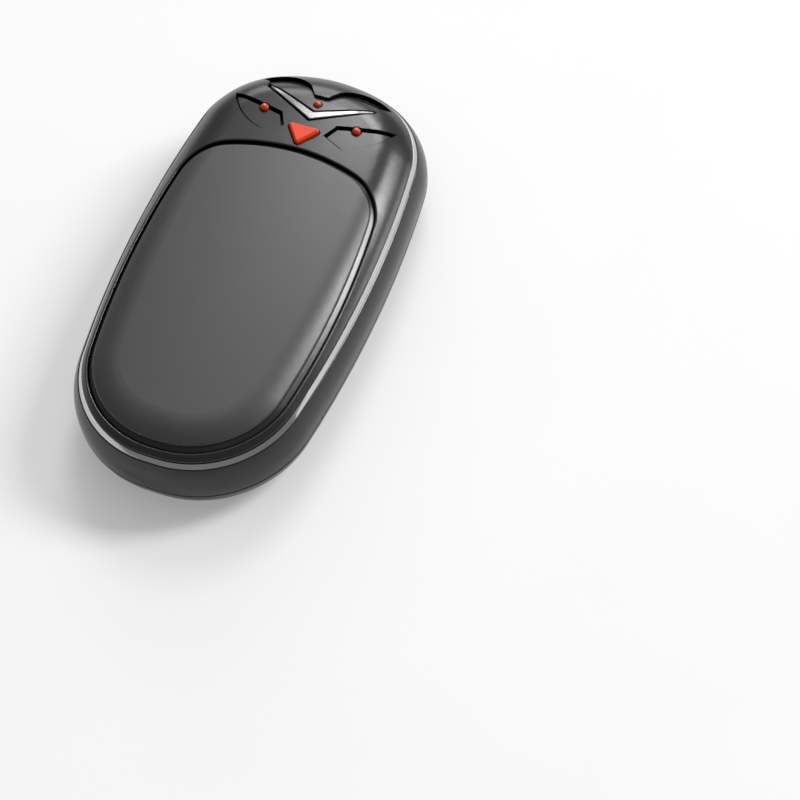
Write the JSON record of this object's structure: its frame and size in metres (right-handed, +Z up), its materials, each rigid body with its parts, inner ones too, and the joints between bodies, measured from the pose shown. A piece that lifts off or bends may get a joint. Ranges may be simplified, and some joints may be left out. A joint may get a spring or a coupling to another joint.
{
  "type": "rechargeable hand warmer",
  "caption": "Palm-sized oval hand warmer: domed metal warming plate in a crowned black case, head relief like an animal's face with indicator lenses, a push button and a charge socket.",
  "frame": {"origin": "middle of the back, on the surface the warmer lies on", "axes": "+X to the right seen from above with the head away from the viewer, +Y along the case to the head with the button, +Z up out of the warming plate"},
  "size_m": [0.0534, 0.1, 0.0204],
  "materials": {
    "case_black": "satin",
    "frame_black": "satin",
    "trim_chrome": "polished dark",
    "plate_grey": "satin anodised",
    "adhesive": "matte",
    "film_amber": "satin",
    "brow_gloss": "gloss",
    "button_orange": "satin",
    "lens_orange": "gloss",
    "led_white": "satin",
    "board_green": "satin",
    "chip_black": "matte",
    "ferrite": "matte",
    "ceramic_tan": "matte",
    "socket_steel": "drawn",
    "pouch_foil": "satin",
    "foam_grey": "open cell",
    "insulation": "felted",
    "lead_red": "satin",
    "lead_black": "satin",
    "lead_white": "satin",
    "screw_steel": "plated"
  },
  "bodies": {
    "case": {"rear_cover": "case_black", "mid_case": "case_black", "trim_ring": "trim_chrome", "front_frame": "frame_black", "heat_plate": "plate_grey", "plate_adhesive": "adhesive", "heater_film": "film_amber", "brow_inlay": "brow_gloss", "indicator_lens_left": "lens_orange", "indicator_lens_right": "lens_orange", "indicator_lens_centre": "lens_orange", "indicator_leds": "led_white", "tact_switch": "chip_black", "control_board": "board_green", "controller_chip": "chip_black", "power_inductor": "ferrite", "board_capacitors": "ceramic_tan", "charge_socket": "socket_steel", "socket_tongue": "chip_black", "battery_cell": "pouch_foil", "battery_pad": "foam_grey", "protection_board": "board_green", "insulation_sheet": "insulation", "pressure_foam": "foam_grey", "thermistor": "chip_black", "battery_lead_positive": "lead_red", "battery_lead_negative": "lead_black", "heater_lead_left": "lead_white", "heater_lead_right": "lead_white", "case_screws": "screw_steel", "board_screws": "screw_steel"},
    "button": {"power_button": "button_orange", "switch_plunger": "chip_black"}
  },
  "joints": [
    {"name": "button_press", "type": "slide", "parent": "case", "child": "button", "axis": [0, 0, -1], "range_m": [0, 0.0005], "stiffness_N_per_m": 2000}
  ]
}
